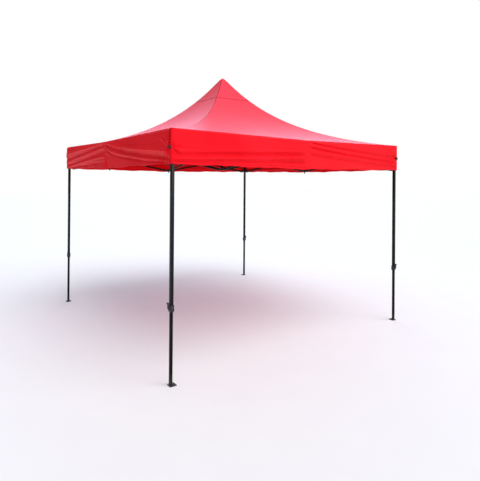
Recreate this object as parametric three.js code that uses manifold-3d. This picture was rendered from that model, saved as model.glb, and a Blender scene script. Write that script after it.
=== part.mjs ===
// Pop up canopy: a square frame of scissor trusses on four telescopic legs, under a peaked fabric roof.
// Millimetres, +Z up. The origin is on the floor under the peak; the four sides run along X and Y.

import * as THREE from 'three';
import { mergeVertices } from 'three/addons/utils/BufferGeometryUtils.js';
import Module from 'manifold-3d';

const wasm = await Module();
wasm.setup();

// Driving dimensions: frame
const LEG_HALF = 1450; // centre of the canopy to a leg's axis, along X and along Y
const TOP_PIVOT_Z = 1990; // every pivot of the truss's upper row
const LOW_PIVOT_Z = 1748; // every pivot of the lower row when the canopy is open
const LEG_PIVOT = 55; // leg axis to the pivot on its bracket, and hub axis to the pivot on a hub
const MID_PIVOT = 45; // middle node's axis to its pivots
const BAR_OFFSET = 7; // each bar of a crossing pair stands this far off the truss's plane

// Bars: rectangular tube
const BAR_DEPTH = 22;
const BAR_WIDTH = 12;
const BAR_WALL = 1;
const BAR_OVERRUN = 11; // past the end pivots

// Legs: square tube in square tube
const OUTER_LEG = 28;
const INNER_LEG = 23;
const LEG_WALL = 1.2;
const OUTER_LEG_BOTTOM = 584;
const OUTER_LEG_TOP = 2014;
const INNER_LEG_TOP = 790;
const FOOT_SIZE = 60;
const FOOT_THICK = 4;
const FOOT_SHIFT = 11; // plate's centre, inward from the leg axis
const FOOT_HOLE_R = 6;

// Fittings
const FIT = 0.4; // running gap between tube and fitting
const SLEEVE = 38; // outside width of sliders, top brackets and collars
const SLIDER_UNDER = 6; // slider body's lower edge above its pivot
const SLIDER_TALL = 48;
const BRACKET_BOTTOM = 1974;
const BRACKET_TOP = 2028;
const NODE_SIZE = 36; // middle node's block
const NODE_HEIGHT = 28;
const HUB_R = 36;
const HUB_HEIGHT = 24;
const HUB_HOLE_R = 16;
const EAR_THICK = 2.5;
const EAR_GAP = BAR_WIDTH + 2 * FIT;

// Leg adjuster
const COLLAR_BOTTOM = 579;
const COLLAR_TOP = 632;
const COLLAR_LIP = 4;
const LEVER_PIVOT_Z = 622;
const LEVER_TOP = 657;
const LEVER_WIDTH = 18;
const LEVER_SLOT = 3; // thickness of each of the collar's two cheeks

// Mast
const MAST_R = 12.5;
const MAST_WALL = 1.2;
const MAST_TOP = 2862;

// Cover
const EAVE_HALF = 1472;
const EAVE_Z = 2030;
const EAVE_DIP = 18; // middle of each side below the corners
const PEAK_Z = 2878.5;
const ROOF_CURVE = 2.4; // how quickly the roof steepens towards the peak
const VALANCE_DROP = 283;
const CLOTH = 1.2;
const ROOF_RINGS = 12;
const VALANCE_RINGS = 2;
const SIDE_STEPS = 8; // even, so that a point stands at the middle of each side

const QUARTER = Math.PI / 2;
const SIDES = ['front', 'right', 'back', 'left'];
const CORNERS = ['front_right', 'back_right', 'back_left', 'front_left']; // between a side and the next

const coated = { color: 0x161616, roughness: 0.45, metalness: 0.6 };
const steel = { color: 0x2a2a2a, roughness: 0.35, metalness: 0.8 };
const plastic = { color: 0x0d0d0d, roughness: 0.55, metalness: 0 };
const cloth = { color: 0xf32c3c, roughness: 0.8, metalness: 0 };

// ---- solids ----

function toSolid(geometry) {
  const bare = geometry.clone();
  bare.deleteAttribute('normal');
  bare.deleteAttribute('uv');
  const merged = mergeVertices(bare, 1e-4);
  return new wasm.Manifold(new wasm.Mesh({
    numProp: 3,
    vertProperties: new Float32Array(merged.attributes.position.array),
    triVerts: new Uint32Array(merged.index.array),
  }));
}

function toGeometry(solid) {
  const mesh = solid.getMesh();
  const geometry = new THREE.BufferGeometry();
  geometry.setAttribute('position', new THREE.BufferAttribute(mesh.vertProperties, 3));
  geometry.setIndex(new THREE.BufferAttribute(mesh.triVerts, 1));
  geometry.computeVertexNormals();
  return geometry;
}

function join(...geometries) {
  return toGeometry(geometries.map(toSolid).reduce((sum, next) => sum.add(next)));
}

function cut(geometry, ...tools) {
  return toGeometry(tools.map(toSolid).reduce((left, tool) => left.subtract(tool), toSolid(geometry)));
}

function box(width, depth, low, high) {
  return new THREE.BoxGeometry(width, depth, high - low).translate(0, 0, (low + high) / 2);
}

function upright(radius, low, high, sides = 24) {
  return new THREE.CylinderGeometry(radius, radius, high - low, sides)
    .rotateX(QUARTER)
    .translate(0, 0, (low + high) / 2);
}

// Square shape centred on the origin, with its corners rounded
function roundedSquare(width, depth, radius) {
  const x = width / 2;
  const y = depth / 2;
  const shape = new THREE.Shape();
  shape.moveTo(-x + radius, -y);
  shape.lineTo(x - radius, -y);
  shape.absarc(x - radius, -y + radius, radius, -QUARTER, 0);
  shape.lineTo(x, y - radius);
  shape.absarc(x - radius, y - radius, radius, 0, QUARTER);
  shape.lineTo(-x + radius, y);
  shape.absarc(-x + radius, y - radius, radius, QUARTER, 2 * QUARTER);
  shape.lineTo(-x, -y + radius);
  shape.absarc(-x + radius, -y + radius, radius, 2 * QUARTER, 3 * QUARTER);
  return shape;
}

function prism(shape, low, high, curveSegments = 1) {
  return new THREE.ExtrudeGeometry(shape, { depth: high - low, bevelEnabled: false, curveSegments })
    .translate(0, 0, low);
}

function squareTube(width, depth, wall, low, high, radius) {
  const shape = roundedSquare(width, depth, radius);
  shape.holes.push(roundedSquare(width - 2 * wall, depth - 2 * wall, radius / 2));
  return prism(shape, low, high);
}

// ---- clevis ears that hold a bar's end ----

// outline: points [outward, up]; the two ears stand either side of the bar's plane, offset sideways
function earPair(outline, heading, offset) {
  const shape = new THREE.Shape(outline.map(([out, up]) => new THREE.Vector2(out, up)));
  const ears = [-1, 1].map((side) => {
    const inner = offset + side * EAR_GAP / 2;
    const low = Math.min(inner, inner + side * EAR_THICK);
    return new THREE.ExtrudeGeometry(shape, { depth: EAR_THICK, bevelEnabled: false })
      .rotateX(QUARTER)
      .translate(0, low + EAR_THICK, 0)
      .rotateZ(heading);
  });
  return ears;
}

// Ear that runs straight out from a body to a rounded end about the pivot
function straightEar(start, pivot, pivotZ, half) {
  const points = [[start, pivotZ - half], [pivot, pivotZ - half]];
  for (const turn of [-0.5, 0, 0.5]) {
    points.push([pivot + half * Math.cos(turn * QUARTER), pivotZ + half * Math.sin(turn * QUARTER)]);
  }
  points.push([pivot, pivotZ + half], [start, pivotZ + half]);
  return points;
}

// Ear that hangs below the slider's body, clear of the collar
function hangingEar(start, pivot, pivotZ) {
  const half = 9;
  return [
    [start, pivotZ + SLIDER_UNDER + 1],
    [26, pivotZ + SLIDER_UNDER + 1],
    [pivot - 12, pivotZ - half + 2],
    [pivot - 6, pivotZ - half],
    [pivot + 5, pivotZ - half],
    [pivot + half, pivotZ],
    [pivot + 5, pivotZ + half],
    [32, pivotZ + SLIDER_TALL - 6],
    [start, pivotZ + SLIDER_TALL - 4],
  ];
}

// ---- one function for each kind of piece ----

function scissorBar(length) {
  const half = length / 2 + BAR_OVERRUN;
  return squareTube(BAR_WIDTH, BAR_DEPTH, BAR_WALL, -half, half, 2.5)
    .rotateZ(QUARTER)
    .rotateY(QUARTER);
}

function outerLeg() {
  return squareTube(OUTER_LEG, OUTER_LEG, LEG_WALL, OUTER_LEG_BOTTOM, OUTER_LEG_TOP, 3);
}

function innerLeg() {
  const tube = squareTube(INNER_LEG, INNER_LEG, LEG_WALL, FOOT_THICK - 1, INNER_LEG_TOP, 2.5);
  const plate = prism(roundedSquare(FOOT_SIZE, FOOT_SIZE, 5), 0, FOOT_THICK).translate(0, FOOT_SHIFT, 0);
  const holes = [-1, 1].map((side) => upright(FOOT_HOLE_R, -1, FOOT_THICK + 1, 12)
    .translate(side * 19, FOOT_SHIFT + 16, 0));
  return cut(join(plate, tube), ...holes);
}

function collar() {
  const inside = OUTER_LEG + 2 * FIT;
  const waist = COLLAR_BOTTOM + 16;
  const sleeve = prism(roundedSquare(SLEEVE, SLEEVE, 6), waist, COLLAR_TOP);
  const taper = new THREE.CylinderGeometry(SLEEVE / Math.SQRT2, (SLEEVE - 8) / Math.SQRT2, 17, 4)
    .rotateX(QUARTER)
    .rotateZ(QUARTER / 2)
    .translate(0, 0, waist - 7.5);
  const cheeks = [-1, 1].map((side) => {
    const shape = new THREE.Shape();
    shape.moveTo(-SLEEVE / 2 + 2, -26);
    shape.lineTo(-SLEEVE / 2 - 8, -18);
    shape.lineTo(-SLEEVE / 2 - 11, 0);
    shape.lineTo(-SLEEVE / 2 - 8, 8);
    shape.lineTo(-SLEEVE / 2 + 2, 9);
    return new THREE.ExtrudeGeometry(shape, { depth: LEVER_SLOT, bevelEnabled: false })
      .rotateX(QUARTER)
      .rotateZ(QUARTER)
      .translate(side * (LEVER_WIDTH / 2 + FIT + LEVER_SLOT / 2) - LEVER_SLOT / 2, 0, LEVER_PIVOT_Z);
  });
  const body = join(sleeve, taper, ...cheeks);
  const legSpace = box(inside, inside, COLLAR_BOTTOM + COLLAR_LIP, COLLAR_TOP + 1);
  const innerSpace = box(INNER_LEG + 2 * FIT, INNER_LEG + 2 * FIT, COLLAR_BOTTOM - 1, COLLAR_TOP);
  return cut(body, legSpace, innerSpace);
}

// Thumb lever on the collar's outer face, drawn about its pin and then set in place
function adjusterLever() {
  const rise = LEVER_TOP - LEVER_PIVOT_Z;
  const shape = new THREE.Shape();
  shape.moveTo(0, -6);
  shape.lineTo(6, -4);
  shape.lineTo(9, 6);
  shape.lineTo(14, rise - 12);
  shape.absarc(9, rise - 8, 8, -0.4, Math.PI * 0.95);
  shape.lineTo(2.5, 10);
  shape.lineTo(0, 6);
  return new THREE.ExtrudeGeometry(shape, { depth: LEVER_WIDTH, bevelEnabled: false, curveSegments: 8 })
    .rotateX(QUARTER)
    .rotateZ(-QUARTER)
    .translate(LEVER_WIDTH / 2, 0, 0);
}

function slider() {
  const low = LOW_PIVOT_Z + SLIDER_UNDER;
  const high = LOW_PIVOT_Z + SLIDER_TALL;
  const inside = OUTER_LEG + 2 * FIT;
  const body = prism(roundedSquare(SLEEVE, SLEEVE, 4), low, high);
  const outline = hangingEar(SLEEVE / 2 - 2, LEG_PIVOT, LOW_PIVOT_Z);
  const ears = [
    ...earPair(outline, Math.PI, BAR_OFFSET),
    ...earPair(outline, QUARTER, -BAR_OFFSET),
  ];
  return cut(join(body, ...ears), box(inside, inside, low - 20, high + 1));
}

function cornerBracket() {
  const inside = OUTER_LEG + 2 * FIT;
  const body = prism(roundedSquare(SLEEVE, SLEEVE, 4), BRACKET_BOTTOM, BRACKET_TOP - 6);
  const crown = prism(roundedSquare(SLEEVE - 8, SLEEVE - 8, 6), BRACKET_TOP - 7, BRACKET_TOP);
  const outline = straightEar(SLEEVE / 2 - 2, LEG_PIVOT, TOP_PIVOT_Z, 11);
  const ears = [
    ...earPair(outline, Math.PI, -BAR_OFFSET),
    ...earPair(outline, QUARTER, BAR_OFFSET),
  ];
  const pocket = box(inside, inside, BRACKET_BOTTOM - 1, OUTER_LEG_TOP + FIT);
  return cut(join(body, crown, ...ears), pocket);
}

// turn is 1 on the upper row and -1 on the lower: which side of the plane its bars stand
function middleNode(pivotZ, turn) {
  const offset = turn * BAR_OFFSET;
  const half = NODE_HEIGHT / 2;
  const body = prism(roundedSquare(NODE_SIZE, NODE_SIZE, 5), pivotZ - half, pivotZ + half);
  const outline = straightEar(NODE_SIZE / 2 - 2, MID_PIVOT, pivotZ, 10);
  const ears = [
    ...earPair(outline, 0, -offset),
    ...earPair(outline, Math.PI, offset),
    ...earPair(outline, QUARTER, offset),
  ];
  const hollow = box(NODE_SIZE - 10, NODE_SIZE - 10, pivotZ - half - 1, pivotZ + half - 5);
  return cut(join(body, ...ears), hollow);
}

function hub(pivotZ, offset, hollowR, hollowBottom) {
  const half = HUB_HEIGHT / 2;
  const outline = straightEar(HUB_R - 8, LEG_PIVOT, pivotZ, 10);
  const ears = SIDES.flatMap((_, k) => earPair(outline, (k - 1) * QUARTER, offset));
  const body = upright(HUB_R, pivotZ - half, pivotZ + half, 24);
  return cut(join(body, ...ears), upright(hollowR, hollowBottom, pivotZ + half + 1));
}

// Steel tube standing in the lower hub, with a domed plastic cap under the peak
function mast() {
  const foot = LOW_PIVOT_Z - HUB_HEIGHT / 2 + 4.3;
  const profile = [
    [0, MAST_TOP],
    [6, MAST_TOP - 1],
    [11, MAST_TOP - 5],
    [14, MAST_TOP - 12],
    [14, MAST_TOP - 30],
    [MAST_R, MAST_TOP - 32],
    [MAST_R, foot],
    [MAST_R - MAST_WALL, foot],
    [MAST_R - MAST_WALL, MAST_TOP - 16],
    [0, MAST_TOP - 16],
  ];
  return new THREE.LatheGeometry(profile.map(([r, z]) => new THREE.Vector2(r, -z)), 20)
    .rotateX(-QUARTER);
}

// Height of the roof at a ring (0 peak to 1 eave) and a place along a side (-1 to 1)
function roofHeight(ring, along) {
  const floorValue = Math.exp(-ROOF_CURVE);
  const rise = (Math.exp(-ROOF_CURVE * ring) - floorValue) / (1 - floorValue);
  const dip = EAVE_DIP * (1 - Math.abs(along)) * ring;
  return EAVE_Z + (PEAK_Z - EAVE_Z) * rise - dip;
}

// One skin of the cover, as rings of points from the peak out to the eave and down to the hem
function coverSkin(half, drop) {
  const rings = [];
  for (let j = 1; j <= ROOF_RINGS + VALANCE_RINGS; j += 1) {
    const ring = Math.min(j / ROOF_RINGS, 1);
    const down = VALANCE_DROP * Math.max(j - ROOF_RINGS, 0) / VALANCE_RINGS;
    const reach = half * ring;
    const points = [];
    for (let k = 0; k < SIDES.length; k += 1) {
      for (let i = 0; i < SIDE_STEPS; i += 1) {
        const along = 2 * i / SIDE_STEPS - 1;
        const lowered = down > 0 ? 0 : drop;
        const height = roofHeight(ring, along) - lowered - down;
        const place = new THREE.Vector3(reach * along, -reach, height);
        points.push(place.applyAxisAngle(new THREE.Vector3(0, 0, 1), k * QUARTER));
      }
    }
    rings.push(points);
  }
  return { peak: new THREE.Vector3(0, 0, PEAK_Z - drop), rings };
}

function canopyCover() {
  const around = SIDES.length * SIDE_STEPS;
  const positions = [];
  const triangles = [];
  const addSkin = (skin) => {
    const start = positions.length / 3;
    positions.push(...skin.peak.toArray());
    skin.rings.forEach((points) => points.forEach((p) => positions.push(...p.toArray())));
    return start;
  };
  const at = (start, ring, i) => start + 1 + ring * around + (i % around);
  const outer = addSkin(coverSkin(EAVE_HALF, 0));
  const inner = addSkin(coverSkin(EAVE_HALF - CLOTH, CLOTH));
  const last = ROOF_RINGS + VALANCE_RINGS - 1;
  for (let i = 0; i < around; i += 1) {
    triangles.push(outer, at(outer, 0, i), at(outer, 0, i + 1));
    triangles.push(inner, at(inner, 0, i + 1), at(inner, 0, i));
    for (let r = 0; r < last; r += 1) {
      triangles.push(at(outer, r, i), at(outer, r + 1, i), at(outer, r + 1, i + 1));
      triangles.push(at(outer, r, i), at(outer, r + 1, i + 1), at(outer, r, i + 1));
      triangles.push(at(inner, r, i), at(inner, r + 1, i + 1), at(inner, r + 1, i));
      triangles.push(at(inner, r, i), at(inner, r, i + 1), at(inner, r + 1, i + 1));
    }
    triangles.push(at(outer, last, i), at(inner, last, i), at(inner, last, i + 1));
    triangles.push(at(outer, last, i), at(inner, last, i + 1), at(outer, last, i + 1));
  }
  const geometry = new THREE.BufferGeometry();
  geometry.setAttribute('position', new THREE.Float32BufferAttribute(positions, 3));
  geometry.setIndex(triangles);
  geometry.computeVertexNormals();
  return geometry;
}

// ---- the assembly ----

function piece(name, geometry, finish) {
  const mesh = new THREE.Mesh(geometry, new THREE.MeshStandardMaterial(finish));
  mesh.name = name;
  return mesh;
}

// A bar between two pivots, its depth standing upright
function barBetween(name, from, to) {
  const along = to.clone().sub(from).normalize();
  const across = new THREE.Vector3(0, 0, 1).cross(along).normalize();
  const mesh = piece(name, scissorBar(from.distanceTo(to)), coated);
  mesh.quaternion.setFromRotationMatrix(new THREE.Matrix4().makeBasis(along, across, along.clone().cross(across)));
  mesh.position.copy(from).lerp(to, 0.5);
  return mesh;
}

// The two crossing bars between a middle node and a leg; end is 1 or -1 along the side
function sideScissor(side, corner, end) {
  const near = end * MID_PIVOT;
  const far = end * (LEG_HALF - LEG_PIVOT);
  const outside = -LEG_HALF - BAR_OFFSET;
  const inside = -LEG_HALF + BAR_OFFSET;
  return [
    barBetween(`${side}_side_${corner}_slider_bar`,
      new THREE.Vector3(near, outside, TOP_PIVOT_Z), new THREE.Vector3(far, outside, LOW_PIVOT_Z)),
    barBetween(`${side}_side_${corner}_bracket_bar`,
      new THREE.Vector3(near, inside, LOW_PIVOT_Z), new THREE.Vector3(far, inside, TOP_PIVOT_Z)),
  ];
}

// The two crossing bars between the hubs and a middle node
function innerScissor(side) {
  const far = -(LEG_HALF - MID_PIVOT);
  return [
    barBetween(`${side}_inner_upper_hub_bar`,
      new THREE.Vector3(BAR_OFFSET, -LEG_PIVOT, TOP_PIVOT_Z),
      new THREE.Vector3(BAR_OFFSET, far, LOW_PIVOT_Z)),
    barBetween(`${side}_inner_lower_hub_bar`,
      new THREE.Vector3(-BAR_OFFSET, -LEG_PIVOT, LOW_PIVOT_Z),
      new THREE.Vector3(-BAR_OFFSET, far, TOP_PIVOT_Z)),
  ];
}

// Everything on one leg, about its own axis
function legAssembly(corner) {
  const leg = new THREE.Group();
  const lever = piece(`${corner}_adjuster_lever`, adjusterLever(), plastic);
  lever.position.set(0, -SLEEVE / 2 - 1.5, LEVER_PIVOT_Z);
  leg.add(
    piece(`${corner}_outer_leg`, outerLeg(), coated),
    piece(`${corner}_inner_leg`, innerLeg(), steel),
    piece(`${corner}_leg_collar`, collar(), plastic),
    piece(`${corner}_slider`, slider(), plastic),
    piece(`${corner}_corner_bracket`, cornerBracket(), plastic),
    lever,
  );
  return leg;
}

// One side: its middle nodes, its trusses and the leg at its far corner, drawn as the front side
function sideAssembly(side, corner, previousCorner) {
  const group = new THREE.Group();
  const upper = piece(`${side}_middle_upper_node`, middleNode(TOP_PIVOT_Z, 1), plastic);
  const lower = piece(`${side}_middle_lower_node`, middleNode(LOW_PIVOT_Z, -1), plastic);
  upper.position.y = -LEG_HALF;
  lower.position.y = -LEG_HALF;
  const leg = legAssembly(corner);
  leg.position.set(LEG_HALF, -LEG_HALF, 0);
  group.add(
    upper,
    lower,
    ...sideScissor(side, corner, 1),
    ...sideScissor(side, previousCorner, -1),
    ...innerScissor(side),
    leg,
  );
  return group;
}

const group = new THREE.Group();
SIDES.forEach((side, k) => {
  const previous = CORNERS[(k + SIDES.length - 1) % SIDES.length];
  const assembly = sideAssembly(side, CORNERS[k], previous);
  assembly.rotation.z = k * QUARTER;
  group.add(assembly);
});
group.add(
  piece('upper_hub', hub(TOP_PIVOT_Z, BAR_OFFSET, HUB_HOLE_R, TOP_PIVOT_Z - HUB_HEIGHT), plastic),
  piece('lower_hub', hub(LOW_PIVOT_Z, -BAR_OFFSET, MAST_R + FIT, LOW_PIVOT_Z - HUB_HEIGHT / 2 + 4), plastic),
  piece('mast', mast(), steel),
  piece('canopy_cover', canopyCover(), cloth),
);

export default group;
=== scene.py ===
import bpy
import bmesh
import math
import numpy as np
from mathutils import Vector, Matrix


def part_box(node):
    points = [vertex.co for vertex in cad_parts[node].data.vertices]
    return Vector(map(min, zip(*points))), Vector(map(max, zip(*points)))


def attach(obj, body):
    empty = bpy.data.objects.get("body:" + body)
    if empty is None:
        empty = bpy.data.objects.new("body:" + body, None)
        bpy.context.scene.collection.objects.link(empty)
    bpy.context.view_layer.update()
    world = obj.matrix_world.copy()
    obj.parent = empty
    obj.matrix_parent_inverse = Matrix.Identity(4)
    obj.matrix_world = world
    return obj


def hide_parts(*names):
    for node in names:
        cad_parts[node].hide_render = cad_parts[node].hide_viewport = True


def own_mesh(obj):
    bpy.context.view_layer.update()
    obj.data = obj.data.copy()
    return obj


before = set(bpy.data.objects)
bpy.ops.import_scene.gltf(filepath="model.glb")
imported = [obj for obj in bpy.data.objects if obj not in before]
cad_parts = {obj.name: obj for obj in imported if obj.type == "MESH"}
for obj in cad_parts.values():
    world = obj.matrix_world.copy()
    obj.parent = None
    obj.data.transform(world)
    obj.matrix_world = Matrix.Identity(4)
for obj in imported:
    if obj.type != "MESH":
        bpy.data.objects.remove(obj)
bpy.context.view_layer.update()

sides = ["front", "right", "back", "left"]
corners = ["front_right", "back_right", "back_left", "front_left"]  # between a side and the next one
quarter = math.pi / 2
scene = bpy.context.scene


def middleOf(node):
    low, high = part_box(node)
    return (low + high) / 2


legAxis = middleOf("front_right_outer_leg")
truss = dict(
    half=legAxis.x,  # centre to leg axis
    topZ=middleOf("upper_hub").z,  # upper row of pivots
    lowZ=middleOf("lower_hub").z,
    legPivot=0.055,  # leg axis or hub axis to its pivots
    midPivot=0.045,  # middle node to its pivots
    offset=0.007,  # each bar off the truss's plane
    barWide=0.012,
    barDeep=0.022,
    overrun=0.011,
)


# x, y, z drawn for the front side, turned to side k
def turned(k, x, y, z):
    c, s = [(1, 0), (0, 1), (-1, 0), (0, -1)][k]
    return Vector((c * x - s * y, s * x + c * y, z))


camera = dict(
    place=(-3.092, -4.580, 1.636),
    heading=-35.44,  # degrees from +Y
    tilt=0.21,
    roll=0.43,
    lens=33.2,
    shift=(0.0152, -0.1326),
    sensor=36,
    farthest=100,
)


def setCamera():
    data = bpy.data.cameras.new("camera")
    cam = bpy.data.objects.new("camera", data)
    scene.collection.objects.link(cam)
    data.lens = camera["lens"]
    data.sensor_width = camera["sensor"]
    data.shift_x, data.shift_y = camera["shift"]
    data.clip_end = camera["farthest"]
    yaw, pitch, roll = (math.radians(camera[k]) for k in ("heading", "tilt", "roll"))
    turn = Matrix.Rotation(yaw, 4, "Z") @ Matrix.Rotation(quarter + pitch, 4, "X")
    turn = turn @ Matrix.Rotation(roll, 4, "Z")
    cam.matrix_world = Matrix.Translation(camera["place"]) @ turn
    scene.camera = cam


setCamera()
print("camera set")


def newGroup(name, inputs, outputs):
    group = bpy.data.node_groups.new(name, "ShaderNodeTree")
    for label, kind, value in inputs:
        socket = group.interface.new_socket(name=label, in_out="INPUT", socket_type=kind)
        if value is not None:
            socket.default_value = value
    for label, kind in outputs:
        group.interface.new_socket(name=label, in_out="OUTPUT", socket_type=kind)
    return group, group.nodes.new("NodeGroupInput"), group.nodes.new("NodeGroupOutput")


def mathNode(tree, kind, a, b=None, clamp=False):
    node = tree.nodes.new("ShaderNodeMath")
    node.operation = kind
    node.use_clamp = clamp
    for i, value in enumerate((a, b)):
        if value is None:
            continue
        if isinstance(value, (int, float)):
            node.inputs[i].default_value = value
        else:
            tree.links.new(value, node.inputs[i])
    return node.outputs[0]


def noiseNode(tree, vector, scale, detail=4, rough=0.5):
    node = tree.nodes.new("ShaderNodeTexNoise")
    node.inputs["Scale"].default_value = scale
    node.inputs["Detail"].default_value = detail
    node.inputs["Roughness"].default_value = rough
    tree.links.new(vector, node.inputs["Vector"])
    return node.outputs["Fac"]


def rampNode(tree, value, low, high, outLow=0.0, outHigh=1.0):
    node = tree.nodes.new("ShaderNodeMapRange")
    node.interpolation_type = "SMOOTHSTEP"
    for i, given in enumerate((low, high, outLow, outHigh)):
        node.inputs[i + 1].default_value = given
    tree.links.new(value, node.inputs[0])
    return node.outputs[0]


weaveLook = dict(
    slubs=(6, 90, 1),  # thick places run along the cloth
    slubSize=4,
)


# plain weave over a map in metres: height of the threads, and a tint that differs thread by thread
def makeWeave():
    group, given, made = newGroup(
        "weave",
        [("Vector", "NodeSocketVector", None), ("Threads", "NodeSocketFloat", 1400.0)],
        [("Height", "NodeSocketFloat"), ("Tint", "NodeSocketFloat")],
    )
    split = group.nodes.new("ShaderNodeSeparateXYZ")
    group.links.new(given.outputs["Vector"], split.inputs[0])
    waves = []
    for axis in ("X", "Y"):
        turns = mathNode(group, "MULTIPLY", split.outputs[axis], given.outputs["Threads"])
        waves.append(mathNode(group, "ABSOLUTE", mathNode(group, "SINE", turns)))
    height = mathNode(group, "MULTIPLY", waves[0], waves[1])
    group.links.new(height, made.inputs["Height"])
    stretched = group.nodes.new("ShaderNodeMapping")
    stretched.inputs["Scale"].default_value = weaveLook["slubs"]
    group.links.new(given.outputs["Vector"], stretched.inputs["Vector"])
    slubs = noiseNode(group, stretched.outputs[0], weaveLook["slubSize"], 3)
    group.links.new(slubs, made.inputs["Tint"])
    return group


grimeLook = dict(
    dirt=(0.45, 0.75),  # noise values where it starts and is full
    scuff=(0.58, 0.72),
    dirtDetail=6,
    streaks=(60, 60, 4),
    streakSize=3,
)


# broad soft dirt and fine scuffs, both 0 to 1, and a dust mask that grows downwards
def makeGrime():
    group, given, made = newGroup(
        "grime",
        [
            ("Vector", "NodeSocketVector", None),
            ("Size", "NodeSocketFloat", 8.0),
            ("Floor", "NodeSocketFloat", 0.25),
        ],
        [("Dirt", "NodeSocketFloat"), ("Scuff", "NodeSocketFloat"), ("Dust", "NodeSocketFloat")],
    )
    broad = group.nodes.new("ShaderNodeTexNoise")
    broad.inputs["Detail"].default_value = grimeLook["dirtDetail"]
    group.links.new(given.outputs["Vector"], broad.inputs["Vector"])
    group.links.new(given.outputs["Size"], broad.inputs["Scale"])
    group.links.new(rampNode(group, broad.outputs["Fac"], *grimeLook["dirt"]), made.inputs["Dirt"])
    streak = group.nodes.new("ShaderNodeMapping")
    streak.inputs["Scale"].default_value = grimeLook["streaks"]
    group.links.new(given.outputs["Vector"], streak.inputs["Vector"])
    fine = noiseNode(group, streak.outputs[0], grimeLook["streakSize"], 6, 0.7)
    group.links.new(rampNode(group, fine, *grimeLook["scuff"]), made.inputs["Scuff"])
    split = group.nodes.new("ShaderNodeSeparateXYZ")
    group.links.new(given.outputs["Vector"], split.inputs[0])
    share = mathNode(group, "DIVIDE", split.outputs["Z"], given.outputs["Floor"])
    low = rampNode(group, share, 1.0, 0.0)
    group.links.new(mathNode(group, "MULTIPLY", low, broad.outputs["Fac"]), made.inputs["Dust"])
    return group


weaveGroup = makeWeave()
grimeGroup = makeGrime()


def useGroup(tree, group, vector, **values):
    node = tree.nodes.new("ShaderNodeGroup")
    node.node_tree = group
    tree.links.new(vector, node.inputs["Vector"])
    for label, value in values.items():
        node.inputs[label].default_value = value
    return node


def mixColor(tree, share, a, b, kind="MIX"):
    node = tree.nodes.new("ShaderNodeMix")
    node.data_type = "RGBA"
    node.blend_type = kind
    if isinstance(share, (int, float)):
        node.inputs[0].default_value = share
    else:
        tree.links.new(share, node.inputs[0])
    for socket, value in ((node.inputs[6], a), (node.inputs[7], b)):
        if isinstance(value, tuple):
            socket.default_value = (*value, 1)
        else:
            tree.links.new(value, socket)
    return node.outputs[2]


def startMaterial(name):
    mat = bpy.data.materials.new(name)
    mat.use_nodes = True
    shader = mat.node_tree.nodes["Principled BSDF"]
    return mat, mat.node_tree, shader


def addBump(tree, shader, height, distance, strength=1.0):
    bump = tree.nodes.new("ShaderNodeBump")
    bump.inputs["Distance"].default_value = distance
    bump.inputs["Strength"].default_value = strength
    tree.links.new(height, bump.inputs["Height"])
    tree.links.new(bump.outputs[0], shader.inputs["Normal"])


clothLook = dict(
    red=(0.90, 0.010, 0.020),
    deep=(0.80, 0.005, 0.012),
    under=(0.60, 0.004, 0.007),
    seam=(0.17, 0.001, 0.005),
    # painted reflection: pink in the base colour standing in for the bright sky mirrored by the roof
    faded=(0.90, 0.050, 0.082),
    threads=3600.0,
    broadSize=2.2,
    broad=(0.35, 0.75),
    tint=(0.35, 0.8),
    tintShare=0.22,
    line=(0.003, 0.009),  # dark line of a seam: half its core, half its soft edge
    lineShare=0.85,
    rough=(0.40, 0.52),
    ior=1.22,
    shine=0.5,
    shineTint=(1, 0.12, 0.18, 1),
    # painted glow: the underside emits red light in place of light shining through the cloth
    glow=(0.9, 0.006, 0.01, 1),  # light that comes through, seen from below
    glowStrength=0.12,
    ridge=6.0,
    crumple=5.0,
    crumpleSize=14,
    weave=0.2,
    bump=0.00025,
)


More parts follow.
